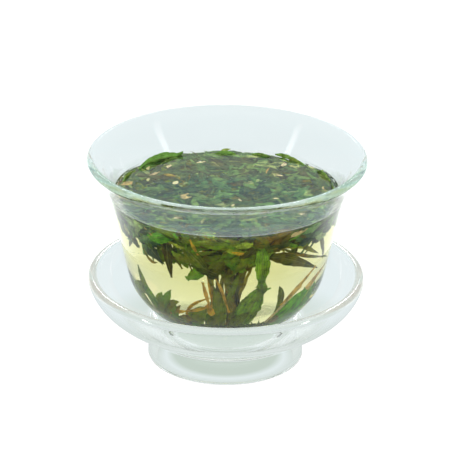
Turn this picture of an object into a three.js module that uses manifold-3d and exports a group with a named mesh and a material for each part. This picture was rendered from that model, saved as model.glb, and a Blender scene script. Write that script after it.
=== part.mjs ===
// A clear glass gaiwan without its lid: a flared cup of green tea, standing in a footed saucer.
// Millimetres, +Z up, origin on the table at the centre of the saucer's foot. The front is -Y.
// The two glass pieces are turned outlines. The tea fills the cup, with pockets for the leaves:
// a raft that floats on it, a bed that has sunk, and the single leaves and stalks in between.
import * as THREE from "three";
import { mergeVertices } from "three/addons/utils/BufferGeometryUtils.js";
import Module from "manifold-3d";

const wasm = await Module();
wasm.setup();

const GAP = 0.3; // between pieces that touch
const GLASS_SIDES = 48; // facets round the cup and the saucer
const TEA_SIDES = 40; // facets round the tea and its leaves

// Saucer
const SAUCER_RADIUS = 49;
const SAUCER_BEAD = 1.8; // radius of the rolled rim
const SAUCER_BEAD_HEIGHT = 29.75; // of the bead's centre
const SAUCER_FOOT_RADIUS = 27.6;
const SAUCER_FOOT_INNER = 24.4;
const SAUCER_FOOT_HEIGHT = 9.8;
const SAUCER_CEILING = 8.8; // under the floor, inside the foot
const WELL_FLOOR = 12.6;
const WELL_RADIUS = 27.4;
const WELL_DEPTH = 1;

// Cup
const CUP_RADIUS = 49;
const CUP_BEAD = 1.5;
const CUP_BEAD_HEIGHT = 74.7;
const CUP_BASE = WELL_FLOOR + GAP;
const CUP_FOOT_RADIUS = 26.5;
const CUP_FOOT_TOP = 19.3; // where the foot ring meets the bowl
const CUP_FLOOR = 19.4; // inside
const WALL = 2.4;
const BELLY = [35.96, 38]; // the bowl's outside here, then a straight cone to the waist
const WAIST = [39.7, 56]; // where the rim starts to flare

// Tea
const TEA_SURFACE = 62.3;
const LEAF_THICK = 0.8;
const RAFT = {
  radius: 35.8,
  footRadius: 34.9,
  height: [52.2, TEA_SURFACE + GAP],
  free: "underside",
  wave: 0.7,
};
const BED = {
  radius: 26,
  footRadius: 18,
  height: [CUP_FLOOR + GAP, 24.6],
  free: "top",
  wave: 0.6,
};

// ---------- solids ----------

// The closed surface of an outline of [radius, height] points, turned about the Z axis.
function turned(path, sides, curvePoints = 5) {
  const points = path.getPoints(curvePoints);
  return new THREE.LatheGeometry(points, sides).rotateX(Math.PI / 2);
}

function solid(geometry) {
  const bare = geometry.clone();
  bare.deleteAttribute("normal");
  bare.deleteAttribute("uv");
  const merged = mergeVertices(bare, 1e-3);
  return new wasm.Manifold(
    new wasm.Mesh({
      numProp: 3,
      vertProperties: merged.attributes.position.array,
      triVerts: new Uint32Array(merged.index.array),
    }),
  );
}

function geometryOf(manifold) {
  const { vertProperties, triVerts } = manifold.getMesh();
  return new THREE.BufferGeometry()
    .setAttribute("position", new THREE.BufferAttribute(vertProperties, 3))
    .setIndex(new THREE.BufferAttribute(triVerts, 1));
}

const cutAll = (body, cutters) => cutters.reduce((left, cutter) => left.subtract(cutter), body);

// ---------- glass ----------

// A rolled rim: an arc round the bead from the wall's outside, over the top, to its inside.
function bead(path, radius, height, size, lean) {
  path.absarc(radius - size, height, size, -lean, Math.PI - lean, false);
}

function saucerOutline() {
  const edge = 0.8; // rounding of the foot's bottom edges
  const lean = 0.22; // how far the wall leans out at the rim, in radians
  const rim = SAUCER_RADIUS;
  const path = new THREE.Path();
  path.moveTo(0, SAUCER_CEILING);
  path.lineTo(SAUCER_FOOT_INNER - 2, SAUCER_CEILING);
  path.quadraticCurveTo(SAUCER_FOOT_INNER - 0.4, SAUCER_CEILING, SAUCER_FOOT_INNER - 0.3, 7);
  path.lineTo(SAUCER_FOOT_INNER, edge);
  path.quadraticCurveTo(SAUCER_FOOT_INNER, 0, SAUCER_FOOT_INNER + edge, 0);
  path.lineTo(SAUCER_FOOT_RADIUS - edge, 0);
  path.quadraticCurveTo(SAUCER_FOOT_RADIUS, 0, SAUCER_FOOT_RADIUS, edge);
  path.lineTo(SAUCER_FOOT_RADIUS - 0.4, SAUCER_FOOT_HEIGHT);
  path.bezierCurveTo(37.6, 15, 46.9, 20.3, rim - 0.05, SAUCER_BEAD_HEIGHT - 0.4);
  bead(path, rim, SAUCER_BEAD_HEIGHT, SAUCER_BEAD, lean);
  path.bezierCurveTo(43.4, 21.1, 35, 16.6, WELL_RADIUS + 0.8, WELL_FLOOR + WELL_DEPTH);
  path.lineTo(WELL_RADIUS, WELL_FLOOR);
  path.lineTo(0, WELL_FLOOR);
  return path;
}

// The cup's inside, from the rim down to the middle of its floor.
function insideTo(path, radiusAtWaist, radiusAtBelly) {
  path.bezierCurveTo(41.4, 70.7, 38.4, 61.2, radiusAtWaist, WAIST[1]);
  path.lineTo(radiusAtBelly, BELLY[1]);
  path.bezierCurveTo(31.9, 29.4, 30.4, CUP_FLOOR, 20, CUP_FLOOR);
  path.lineTo(0, CUP_FLOOR);
}

function cupOutline() {
  const edge = 0.8;
  const lean = Math.PI / 4;
  const ringInner = CUP_FOOT_RADIUS - 3;
  const underside = CUP_FLOOR - 3.1;
  const path = new THREE.Path();
  path.moveTo(0, underside);
  path.lineTo(ringInner - 2, underside);
  path.quadraticCurveTo(ringInner - 0.4, underside, ringInner, CUP_BASE + edge);
  path.quadraticCurveTo(ringInner, CUP_BASE, ringInner + edge, CUP_BASE);
  path.lineTo(CUP_FOOT_RADIUS - edge, CUP_BASE);
  path.quadraticCurveTo(CUP_FOOT_RADIUS, CUP_BASE, CUP_FOOT_RADIUS, CUP_BASE + edge);
  path.lineTo(CUP_FOOT_RADIUS, CUP_FOOT_TOP);
  path.bezierCurveTo(33.9, 27.3, 34.1, 29.2, ...BELLY);
  path.lineTo(...WAIST);
  path.bezierCurveTo(40.8, 61.2, 43, 68.2, 48.56, 73.64);
  bead(path, CUP_RADIUS, CUP_BEAD_HEIGHT, CUP_BEAD, lean);
  insideTo(path, WAIST[0] - WALL, BELLY[0] - WALL);
  return path;
}

// ---------- leaves ----------

// Bearing in degrees from the front, positive to the right, then radius and height.
function at([bearing, radius, height]) {
  const angle = THREE.MathUtils.degToRad(bearing);
  return new THREE.Vector3(radius * Math.sin(angle), -radius * Math.cos(angle), height);
}

// A smooth curve from the first place to the last, that passes through the middle one.
function spineThrough(places) {
  const [from, middle, to] = places.map(at);
  const bend = middle.multiplyScalar(2).sub(from.clone().add(to).multiplyScalar(0.5));
  return new THREE.QuadraticBezierCurve3(from, bend, to);
}

// A bent blade that tapers to both ends, with its broad side facing out of the cup.
// Spread makes it bigger all round, for the pocket that it lies in.
function blade({ through, width, thick = LEAF_THICK, turn = 0 }, spread = 0) {
  const stations = 7;
  const blunt = 0.28; // half-width of the ends, as a share of the middle's
  const spine = spineThrough(through);
  const positions = [];
  for (let i = 0; i < stations; i++) {
    const t = i / (stations - 1);
    const along = spine.getTangentAt(t);
    const centre = spine.getPointAt(t);
    if (i === 0) centre.addScaledVector(along, -spread);
    if (i === stations - 1) centre.addScaledVector(along, spread);
    const outward = new THREE.Vector3(centre.x, centre.y, 0).normalize();
    const side = new THREE.Vector3().crossVectors(along, outward).normalize();
    side.applyAxisAngle(along, THREE.MathUtils.degToRad(turn));
    const face = new THREE.Vector3().crossVectors(side, along);
    const half = (width / 2) * Math.max(blunt, Math.sin(Math.PI * t) ** 0.7) + spread;
    const deep = thick / 2 + spread;
    for (const [u, v] of [[1, 1], [-1, 1], [-1, -1], [1, -1]]) {
      const corner = centre.clone().addScaledVector(side, u * half).addScaledVector(face, v * deep);
      positions.push(...corner.toArray());
    }
  }
  const faces = [];
  const quad = (a, b, c, d) => faces.push(a, b, c, a, c, d);
  for (let i = 0; i < stations - 1; i++)
    for (let k = 0; k < 4; k++) {
      const next = (k + 1) % 4;
      quad(4 * i + k, 4 * i + 4 + k, 4 * i + 4 + next, 4 * i + next);
    }
  const last = 4 * (stations - 1);
  quad(0, 1, 2, 3);
  quad(last + 3, last + 2, last + 1, last);
  const geometry = new THREE.BufferGeometry();
  geometry.setAttribute("position", new THREE.Float32BufferAttribute(positions, 3));
  return geometry.setIndex(faces);
}

// Leaves that hang from the raft, each from its stem end to its tip. The first ten are in front.
const HANGING = [
  { through: [[-33, 34.7, 55], [-33, 34.4, 50.8], [-32, 33.3, 42.7]], width: 4.2 },
  { through: [[-28, 32, 55], [-30, 31.8, 52.1], [-27, 31, 46.2]], width: 2.8 },
  { through: [[-22, 34.2, 55], [-16, 33.8, 51.8], [-10, 32.9, 47.4]], width: 5.2 },
  { through: [[-9, 31.6, 52], [-16, 31.6, 46.5], [-23, 31.4, 43.2]], width: 4.6 },
  { through: [[19, 34.8, 55], [20, 34.4, 49], [20.5, 33.2, 42.2]], width: 5.4 },
  { through: [[24, 32.6, 52], [38, 33.6, 49.3], [65, 31.8, 40.6]], width: 4.4 },
  { through: [[34, 30.4, 54], [50, 31.6, 48.8], [80, 30.6, 42.4]], width: 1.4 },
  { through: [[-58, 34.2, 55], [-63, 34, 52], [-68, 33.4, 47.5]], width: 2.5 },
  { through: [[-41, 33, 55], [-40, 32.4, 51], [-40, 31.6, 46.5]], width: 3 },
  { through: [[60, 34.4, 55], [64, 34.2, 51], [67, 34, 46.5]], width: 2.4 },
  { through: [[100, 34, 55], [104, 33.8, 50], [108, 33, 45]], width: 2 },
  { through: [[150, 33, 55], [156, 32.8, 49], [160, 31.5, 43.5]], width: 5 },
  { through: [[-175, 34, 55], [-172, 33.4, 50], [-168, 32.5, 45]], width: 4 },
  { through: [[-140, 33, 55], [-136, 32.8, 50], [-130, 31.8, 44]], width: 6 },
  { through: [[-100, 34, 55], [-104, 33.4, 50], [-108, 32.6, 44.5]], width: 2 },
];

// Leaves that stand on the bed, each from the bed to its tip. The last four are behind.
const STANDING = [
  { through: [[12, 24.6, 23], [15, 30.2, 32], [23.5, 31.8, 40.6]], width: 8 },
  { through: [[-3, 24.6, 23], [-4, 30.4, 33], [-7, 32, 40.9]], width: 4.1 },
  { through: [[-26, 24.6, 22.8], [-18, 29.8, 28.6], [-12, 31, 32.4]], width: 5.6 },
  { through: [[-15, 21, 22.8], [-10, 24.4, 27], [-6, 25.4, 29.8]], width: 4.4 },
  { through: [[45, 24.2, 23], [55, 28.9, 28.2], [66, 31.2, 34.6]], width: 6.2 },
  { through: [[34, 22.5, 23], [38, 28, 31], [35, 30, 38.6]], width: 2.8 },
  { through: [[39, 26, 25.5], [58, 32, 36.8], [80, 32, 39.5]], width: 1.6 },
  { through: [[-50, 25, 23], [-56, 31.4, 34], [-61, 32.6, 41.9]], width: 3.2 },
  { through: [[-44, 24, 23], [-41, 29.8, 31], [-35, 31, 36.9]], width: 2.6 },
  { through: [[-38, 25, 22.8], [-34, 29.4, 27.6], [-29, 30.4, 31.6]], width: 2.4 },
  { through: [[-60, 25, 22.8], [-66, 30, 28.5], [-73, 31.3, 34.3]], width: 4 },
  { through: [[-30, 21.5, 23], [-22, 27.2, 31.4], [-13, 30.6, 35.8]], width: 1.1 },
  { through: [[100, 22.5, 22.8], [104, 26, 23.6], [110, 27.4, 25.6]], width: 1.6 },
  { through: [[160, 9, 22.8], [168, 12.5, 23.6], [174, 15.5, 25]], width: 1.8 },
  { through: [[-150, 7, 22.8], [-162, 11, 23.6], [-172, 14, 25]], width: 1.8 },
  { through: [[-110, 22.5, 22.8], [-112, 26, 23.6], [-116, 27.4, 25.6]], width: 1.6 },
];

// Stalks that reach from the bed up into the raft.
const STALKS = [
  { through: [[5, 23, 22.8], [3, 28.4, 38], [2, 31, 54]], width: 2, thick: 1.4 },
  { through: [[9, 19, 22.8], [8, 25.6, 37], [9, 29.5, 54]], width: 2, thick: 1.4 },
  { through: [[-6, 20.5, 22.8], [-10, 26.2, 38.4], [-14, 28.4, 54]], width: 1.7, thick: 1.2 },
  { through: [[3, 13, 22.8], [4, 16, 38], [3, 15, 54]], width: 2, thick: 1.4 },
];

// The raft or the bed: a turned slab whose free side waves up and down round the cup. The free
// side is the raft's underside and the bed's top. The pocket for a slab is a gap bigger all
// round, and runs on past the slab's other side to the open.
function leafSlab({ radius, footRadius, height: [low, high], free, wave }, isPocket = false) {
  const spread = isPocket ? GAP : 0;
  const open = isPocket ? 2 : 0;
  const outer = radius + spread;
  const bottom = free === "top" ? low - open : low - spread;
  const top = free === "top" ? high + spread : high + open;
  const path = new THREE.Path();
  path.moveTo(0, bottom);
  path.lineTo(outer * 0.5, bottom);
  path.lineTo(footRadius + spread, low - spread);
  path.lineTo(outer, high - 2);
  path.lineTo(outer - 0.6, top);
  path.lineTo(outer * 0.5, top);
  path.lineTo(0, top);
  const slab = turned(path, TEA_SIDES);
  const place = slab.getAttribute("position");
  for (let i = 0; i < place.count; i++) {
    const bearing = Math.atan2(place.getY(i), place.getX(i));
    const share = Math.min(1, Math.hypot(place.getX(i), place.getY(i)) / radius) ** 2;
    const swing = Math.sin(3 * bearing + 1) + Math.sin(5 * bearing);
    const isFree = place.getZ(i) > (low + high) / 2 === (free === "top");
    if (isFree) place.setZ(i, place.getZ(i) + wave * share * swing);
  }
  return slab;
}

// ---------- the tea, with room for its leaves ----------

// The cup's inside up to the tea's surface, one gap smaller all round.
function teaOutline() {
  const inside = new THREE.Path();
  inside.moveTo(46.44, 75.76);
  insideTo(inside, WAIST[0] - WALL, BELLY[0] - WALL);
  const wetted = inside.getPoints(5).filter((p) => p.y < TEA_SURFACE && p.y > CUP_FLOOR + 0.01);
  const atSurface = 39.05;
  const path = new THREE.Path();
  path.moveTo(0, CUP_FLOOR + GAP);
  for (const p of wetted.reverse()) path.lineTo(p.x - GAP * 1.2, p.y + GAP);
  path.lineTo(atSurface - GAP * 1.2, TEA_SURFACE);
  path.lineTo(0, TEA_SURFACE);
  return path;
}

const leaves = [
  ...HANGING.map((leaf, i) => ({ name: `hanging_leaf_${i + 1}`, leaf, slot: "leaf" })),
  ...STANDING.map((leaf, i) => ({ name: `standing_leaf_${i + 1}`, leaf, slot: "leaf" })),
  ...STALKS.map((leaf, i) => ({ name: `stalk_${i + 1}`, leaf, slot: "stalk" })),
];
const leafPockets = leaves.map(({ leaf }) => solid(blade(leaf, GAP)));
const slabPockets = [RAFT, BED].map((slab) => solid(leafSlab(slab, true)));
const raft = cutAll(solid(leafSlab(RAFT)), leafPockets);
const bed = cutAll(solid(leafSlab(BED)), leafPockets);
const tea = cutAll(solid(turned(teaOutline(), TEA_SIDES)), [...slabPockets, ...leafPockets]);

// ---------- materials and the assembly ----------

const MATERIALS = {
  glass: { color: 0xe6f1ef, roughness: 0.03, metalness: 0, transparent: true, opacity: 0.35 },
  tea: { color: 0xe7e497, roughness: 0.02, metalness: 0, transparent: true, opacity: 0.5 },
  leaf: { color: 0x5d7a32, roughness: 0.45, metalness: 0 },
  stalk: { color: 0x8c7434, roughness: 0.5, metalness: 0 },
};

function piece(name, geometry, slot) {
  const mesh = new THREE.Mesh(geometry, new THREE.MeshStandardMaterial(MATERIALS[slot]));
  mesh.name = name;
  return mesh;
}

const cup = new THREE.Group();
cup.add(piece("cup", turned(cupOutline(), GLASS_SIDES), "glass"));
cup.add(piece("tea_liquor", geometryOf(tea), "tea"));
cup.add(piece("floating_leaf_raft", geometryOf(raft), "leaf"));
cup.add(piece("sunken_leaf_bed", geometryOf(bed), "leaf"));
for (const { name, leaf, slot } of leaves) cup.add(piece(name, blade(leaf), slot));

const gaiwan = new THREE.Group();
gaiwan.add(piece("saucer", turned(saucerOutline(), GLASS_SIDES), "glass"));
gaiwan.add(cup);

export default gaiwan;
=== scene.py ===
import math
from functools import partial

import bpy
import numpy as np
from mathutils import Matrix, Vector


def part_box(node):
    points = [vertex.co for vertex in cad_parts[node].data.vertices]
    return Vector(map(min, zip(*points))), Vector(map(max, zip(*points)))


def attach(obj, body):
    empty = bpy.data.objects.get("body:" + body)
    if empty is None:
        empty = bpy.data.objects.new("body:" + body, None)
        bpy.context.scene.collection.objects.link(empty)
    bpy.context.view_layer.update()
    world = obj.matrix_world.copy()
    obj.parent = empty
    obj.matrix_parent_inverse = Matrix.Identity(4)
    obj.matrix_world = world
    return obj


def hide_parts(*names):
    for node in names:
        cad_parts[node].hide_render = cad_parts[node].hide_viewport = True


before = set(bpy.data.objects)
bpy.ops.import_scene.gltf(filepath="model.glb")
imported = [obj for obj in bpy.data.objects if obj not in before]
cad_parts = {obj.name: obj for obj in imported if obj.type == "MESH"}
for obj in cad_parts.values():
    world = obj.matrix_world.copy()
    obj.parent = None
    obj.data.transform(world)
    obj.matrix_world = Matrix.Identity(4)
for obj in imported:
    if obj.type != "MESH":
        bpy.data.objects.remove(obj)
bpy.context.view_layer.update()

MM = 0.001

# ---------- measures shared with the CAD solids, in millimetres ----------

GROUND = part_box("saucer")[0].z / MM
CUP_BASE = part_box("cup")[0].z / MM
SAUCER_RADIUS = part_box("saucer")[1].x / MM
CUP_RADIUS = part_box("cup")[1].x / MM
TEA_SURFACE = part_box("tea_liquor")[1].z / MM
CUP_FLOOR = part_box("tea_liquor")[0].z / MM - 0.3
SAUCER_BEAD = 1.8
SAUCER_BEAD_HEIGHT = 29.75
SAUCER_FOOT_RADIUS = 27.6
SAUCER_FOOT_INNER = 24.4
SAUCER_CEILING = 8.8
WELL_FLOOR = 12.6
CUP_BEAD = 1.5
CUP_BEAD_HEIGHT = 74.7
CUP_FOOT_RADIUS = 26.5
CUP_FOOT_TOP = 19.3
FOOT_EDGE = 0.8
WALL = 2.4
BELLY = (35.96, 38.0)
WAIST = (39.7, 56.0)
LEAF_GAP = 0.3

# ---------- optics ----------

GLASS_INDEX = 1.48
TEA_INDEX = 1.333
# Each zone is two heights in metres. The softening or the milkiness grows from the first to the
# second.
RIM_ZONE = (0.059, 0.0715)
BASE_ZONE = (0.0205, 0.0185)
FOOT_ZONE = (0.0014, 0.0002)
SOFT_INDEX = 1.12
MILKY_ZONE = (0.0715, 0.0735)
MILKY_CLEARNESS = 0.993


# ---------- outlines ----------

def bezier(a, b, c, d, n=40):
    t = np.linspace(0, 1, n + 1)[:, None]
    a, b, c, d = map(np.array, (a, b, c, d))
    return (1 - t) ** 3 * a + 3 * t * (1 - t) ** 2 * b + 3 * t ** 2 * (1 - t) * c + t ** 3 * d


def corner(a, b, c, n=6):
    """A rounded corner at b, from a to c."""
    t = np.linspace(0, 1, n + 1)[:, None]
    a, b, c = map(np.array, (a, b, c))
    return (1 - t) ** 2 * a + 2 * t * (1 - t) * b + t ** 2 * c


def arc(x, y, radius, start, end, n=28):
    t = np.linspace(start, end, n + 1)
    return np.stack([x + radius * np.cos(t), y + radius * np.sin(t)], axis=1)


def line(a, b, n=10):
    return np.linspace(a, b, n + 1)


def joined(*parts):
    """One outline from pieces that meet end to end."""
    points = [parts[0][0]]
    for part in parts:
        for p in part:
            if np.hypot(*(p - points[-1])) > 0.02:
                points.append(p)
    return np.array(points)


def foot_bottom(inner, outer, ground):
    """The rounded bottom of a foot ring, from its inner wall to its outer one."""
    return (
        corner((inner, ground + FOOT_EDGE), (inner, ground), (inner + FOOT_EDGE, ground)),
        line((inner + FOOT_EDGE, ground), (outer - FOOT_EDGE, ground), 3),
        corner((outer - FOOT_EDGE, ground), (outer, ground), (outer, ground + FOOT_EDGE)),
    )


def saucer_outline():
    """From the middle of the underside, round the foot and the rim, to the middle of the well."""
    lean = 0.22
    inner, outer = SAUCER_FOOT_INNER, SAUCER_FOOT_RADIUS
    under = SAUCER_CEILING
    return joined(
        line((0, under), (inner - 2, under)),
        corner((inner - 2, under), (inner - 0.4, under), (inner - 0.3, 7)),
        line((inner - 0.3, 7), (inner, GROUND + FOOT_EDGE)),
        *foot_bottom(inner, outer, GROUND),
        line((outer, GROUND + FOOT_EDGE), (27.23, 8.9)),
        corner((27.23, 8.9), (27.2, 9.8), (28, 10.2)),
        bezier((28, 10.2), (37.8, 15.1), (46.9, 20.3), (48.95, 29.35)),
        arc(SAUCER_RADIUS - SAUCER_BEAD, SAUCER_BEAD_HEIGHT, SAUCER_BEAD, -lean, math.pi - lean),
        bezier((45.44, 30.14), (43.4, 21.1), (35, 16.6), (28.6, 13.75)),
        corner((28.6, 13.75), (28, 13.5), (27.8, 13.1), 4),
        corner((27.8, 13.1), (27.5, WELL_FLOOR), (26.8, WELL_FLOOR), 4),
        line((26.8, WELL_FLOOR), (0, WELL_FLOOR)),
    )


def cup_inside():
    """From the top of the rim down to the middle of the floor."""
    return joined(
        bezier((46.44, 75.76), (41.4, 70.7), (38.4, 61.2), (WAIST[0] - WALL, WAIST[1])),
        line((WAIST[0] - WALL, WAIST[1]), (BELLY[0] - WALL, BELLY[1]), 18),
        bezier((BELLY[0] - WALL, BELLY[1]), (31.9, 29.4), (30.4, CUP_FLOOR), (20, CUP_FLOOR)),
        line((20, CUP_FLOOR), (0, CUP_FLOOR), 12),
    )


def cup_outline():
    """From the middle of the underside, round the foot and the rim, to the middle of the floor."""
    lean = math.pi / 4
    inner, outer = CUP_FOOT_RADIUS - 3, CUP_FOOT_RADIUS
    under = CUP_FLOOR - 3.1
    return joined(
        line((0, under), (inner - 2, under)),
        corner((inner - 2, under), (inner - 0.4, under), (inner, CUP_BASE + FOOT_EDGE)),
        *foot_bottom(inner, outer, CUP_BASE),
        line((outer, CUP_BASE + FOOT_EDGE), (outer, CUP_FOOT_TOP - 0.6)),
        corner((outer, CUP_FOOT_TOP - 0.6), (outer, CUP_FOOT_TOP), (26.9, 19.74)),
        bezier((26.9, 19.74), (33.9, 27.3), (34.1, 29.2), BELLY),
        line(BELLY, WAIST, 18),
        bezier(WAIST, (40.8, 61.2), (43, 68.2), (48.56, 73.64)),
        arc(CUP_RADIUS - CUP_BEAD, CUP_BEAD_HEIGHT, CUP_BEAD, -lean, math.pi - lean),
        cup_inside(),
    )


INSIDE = cup_inside()


def inner_radius(height):
    """The cup's inner radius at a height, from its floor up."""
    return np.interp(height, INSIDE[::-1, 1], INSIDE[::-1, 0])


def tea_outline():
    """A hair past the glass, so that no air lies between, with the surface drawn up at the wall."""
    overlap = 0.12
    wet = INSIDE[(INSIDE[:, 1] < TEA_SURFACE + 0.9) & (INSIDE[:, 0] > 0)]
    run = np.gradient(wet, axis=0)
    normal = np.stack([-run[:, 1], run[:, 0]], axis=1)
    normal /= np.hypot(*normal.T)[:, None]
    side = wet + normal * overlap
    top = side[0]
    rise = corner(top, (top[0] - 0.7, TEA_SURFACE + 0.05), (top[0] - 2.6, TEA_SURFACE), 8)
    surface = line((top[0] - 2.6, TEA_SURFACE), (0, TEA_SURFACE), 14)
    bottom = np.array([[0, CUP_FLOOR - overlap]])
    return joined(bottom, side[::-1], rise, surface)


# ---------- meshes ----------

def make_object(name, vertices, faces, material, slot, body):
    mesh = bpy.data.meshes.new(name)
    mesh.from_pydata([tuple(v) for v in np.asarray(vertices) * MM], [], faces)
    mesh.polygons.foreach_set("use_smooth", [True] * len(mesh.polygons))
    mesh.materials.append(material)
    mesh.update()
    thing = bpy.data.objects.new(name, mesh)
    bpy.context.scene.collection.objects.link(thing)
    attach(thing, body)
    return thing


def turned(outline, sides=192):
    """Vertices and faces of an outline turned about the Z axis. Both its ends are on the axis."""
    angles = np.linspace(0, 2 * math.pi, sides, endpoint=False)
    around = np.stack([np.cos(angles), np.sin(angles)], axis=1)
    rings = outline[1:-1]
    vertices = [(0, 0, outline[0][1])]
    for radius, height in rings:
        vertices += [(radius * x, radius * y, height) for x, y in around]
    vertices.append((0, 0, outline[-1][1]))
    last = len(vertices) - 1
    faces = []
    for k in range(sides):
        n = (k + 1) % sides
        faces.append((0, 1 + n, 1 + k))
        faces.append((last, last - sides + k, last - sides + n))
        for j in range(len(rings) - 1):
            a = 1 + j * sides
            faces.append((a + k, a + n, a + sides + n, a + sides + k))
    return vertices, faces


def mark_wet(thing, test):
    """Stores 1 on the points where glass and tea meet, and 0 on those that meet the air."""
    store = thing.data.attributes.new("wet", "FLOAT", "POINT")
    store.data.foreach_set("value", [float(test(v.co / MM)) for v in thing.data.vertices])


def polar(bearing, radius, height):
    """Bearing in degrees from the front, positive to the right."""
    angle = math.radians(bearing)
    return np.array([radius * math.sin(angle), -radius * math.cos(angle), height])


def unit(v):
    return v / max(1e-9, np.linalg.norm(v))


LEAF_SHARP_ANGLE = 38
NARROWEST = 0.04


def curve_through(places, t):
    """Points of a smooth curve that starts, passes its middle and ends at three places."""
    a, b, c = map(np.asarray, places)
    control = 2 * b - (a + c) / 2
    t = t[:, None]
    return (1 - t) ** 2 * a + 2 * t * (1 - t) * control + t ** 2 * c


def blade_shape(t, peak, taper, ends):
    """The width along a blade, as a share of the widest. The ends' shares keep them blunt."""
    warp = np.log(0.5) / np.log(peak)
    shape = np.sin(np.pi * t ** warp) ** taper
    blunt = (ends[0] * (1 - t) + ends[1] * t) * (np.abs(2 * t - 1) ** 3)
    return np.maximum(np.maximum(shape, blunt), NARROWEST)


def ragged_edge(t, ragged, waves, phases, rng):
    """How far one edge of a blade stands out, as a share of an even edge."""
    wave = np.sin(waves[0] * t + phases[0]) * 0.5 + np.sin(waves[1] * t + phases[1]) * 0.35
    return 1 + ragged * (wave + rng.normal(0, 0.25, len(t)))


def shell_faces(start, n, m):
    """The faces of a thin blade: two grids of n by m cells, joined all round their rim."""
    row, count = m + 1, (n + 1) * (m + 1)
    faces = []
    for i in range(n):
        for j in range(m):
            p = start + i * row + j
            faces.append((p, p + 1, p + row + 1, p + row))
            q = p + count
            faces.append((q, q + row, q + row + 1, q + 1))
    rim = ([i * row for i in range(n)] + [n * row + j for j in range(m)]
           + [n * row + m - i * row for i in range(n)] + [m - j for j in range(m)])
    for p, after in zip(rim, rim[1:] + rim[:1]):
        faces.append((start + p, start + after, start + after + count, start + p + count))
    return faces


class Foliage:
    """Blades gathered into one mesh. Each point also stores how far along and across its blade it
    is, and the blade's own tone and age, for the material."""

    def __init__(self):
        self.points, self.faces, self.marks = [], [], []

    def blade(self, places, width, facing, tone, rng, age=0.3, thick=0.28, camber=0.12, fold=0.0,
              twist=0.0, ragged=0.12, ends=(0.25, 0.0), curl=0.0, steps=(20, 6), peak=0.45,
              taper=0.8):
        """A leaf whose middle line passes through three places, with its face towards facing."""
        t = np.linspace(0, 1, steps[0] + 1)
        across = np.linspace(-1, 1, steps[1] + 1)
        spine = curve_through(places, t)
        along = np.gradient(spine, axis=0)
        along /= np.linalg.norm(along, axis=1)[:, None]
        side = np.cross(along, facing)
        side /= np.linalg.norm(side, axis=1)[:, None] + 1e-9
        face = np.cross(side, along)
        turn = np.radians(twist) * (t - 0.5)[:, None] * 2
        side, face = (
            side * np.cos(turn) + face * np.sin(turn),
            face * np.cos(turn) - side * np.sin(turn),
        )
        shape = blade_shape(t, peak, taper, ends)[:, None]
        phase = rng.uniform(0, 6.28, 6)
        left = ragged_edge(t, ragged, (11, 29), phase[0:2], rng)[:, None]
        right = ragged_edge(t, ragged, (9, 31), phase[2:4], rng)[:, None]
        reach = width / 2 * shape * np.where(across < 0, left, right) * across
        lift = width * (camber * (1 - across ** 2) + fold * np.abs(across)) * shape
        lift = lift + width * 0.05 * np.sin(7 * t + phase[4])[:, None] * across
        lift = lift - width * curl * (across ** 2) * np.sin(math.pi * t)[:, None]
        # The two blunt ends are torn, so their points slide along the blade.
        torn = rng.normal(0, ragged * width * 0.35, (2, len(across)))
        slide = np.zeros(reach.shape)
        slide[0], slide[-1] = torn[0] * ends[0] * 2, torn[1] * ends[1] * 2
        middle = (spine[:, None] + side[:, None] * reach[..., None]
                  + face[:, None] * lift[..., None] + along[:, None] * slide[..., None])
        deep = (thick / 2) * (1 - 0.55 * np.abs(across) ** 3)[:, None] * face[:, None]
        skins = np.concatenate([(middle + deep).reshape(-1, 3), (middle - deep).reshape(-1, 3)])
        self.faces.extend(shell_faces(len(self.points), *steps))
        self.points.extend(contained(skins))
        mark = np.broadcast_arrays(t[:, None], across * 0.5 + 0.5, tone, age)
        self.marks.extend(np.tile(np.stack(mark, axis=-1).reshape(-1, 4), (2, 1)))

    def hold_under(self, height, give=0.2):
        """Presses down what stands above a height."""
        points = np.asarray(self.points)
        over = np.maximum(points[:, 2] - height, 0)
        points[:, 2] -= over * (1 - give)
        self.points = list(points)

    def build(self, name, material, slot, nodes=()):
        thing = make_object(name, self.points, self.faces, material, slot, "cup")
        thing.data.set_sharp_from_angle(angle=math.radians(LEAF_SHARP_ANGLE))
        store = thing.data.attributes.new("leaf", "FLOAT_COLOR", "POINT")
        store.data.foreach_set("color", np.asarray(self.marks, np.float32).ravel())
        if nodes:
            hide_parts(*nodes)
        return thing


def contained(points):
    """Keeps leaf points inside the glass and above its floor."""
    radius = np.hypot(points[:, 0], points[:, 1])
    most = inner_radius(np.maximum(points[:, 2], CUP_FLOOR + LEAF_GAP)) - LEAF_GAP
    share = np.minimum(1, most / np.maximum(radius, 1e-6))
    points[:, 0] *= share
    points[:, 1] *= share
    points[:, 2] = np.maximum(points[:, 2], CUP_FLOOR + 0.15)
    return points


# ---------- materials ----------

OLD_LEAF_BROWN = (0.26, 0.165, 0.012, 1)
RIB_GREEN = (0.22, 0.25, 0.08, 1)


def new_material(name):
    material = bpy.data.materials.new(name)
    material.use_nodes = True
    tree = material.node_tree
    tree.nodes.clear()
    out = tree.nodes.new("ShaderNodeOutputMaterial")
    shader = tree.nodes.new("ShaderNodeBsdfPrincipled")
    tree.links.new(shader.outputs[0], out.inputs["Surface"])
    return material, tree, shader, out


def node(tree, kind, settings=None, **inputs):
    made = tree.nodes.new(kind)
    for key, value in (settings or {}).items():
        setattr(made, key, value)
    for key, value in inputs.items():
        socket = made.inputs[int(key[1:])] if key[0] == "i" and key[1:].isdigit() else made.inputs[key]
        if isinstance(value, bpy.types.NodeSocket):
            tree.links.new(value, socket)
        else:
            socket.default_value = value
    return made


def math_node(tree, operation, a, b=0.0, clamp=False):
    settings = {"operation": operation, "use_clamp": clamp}
    return node(tree, "ShaderNodeMath", settings, i0=a, i1=b).outputs[0]


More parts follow.
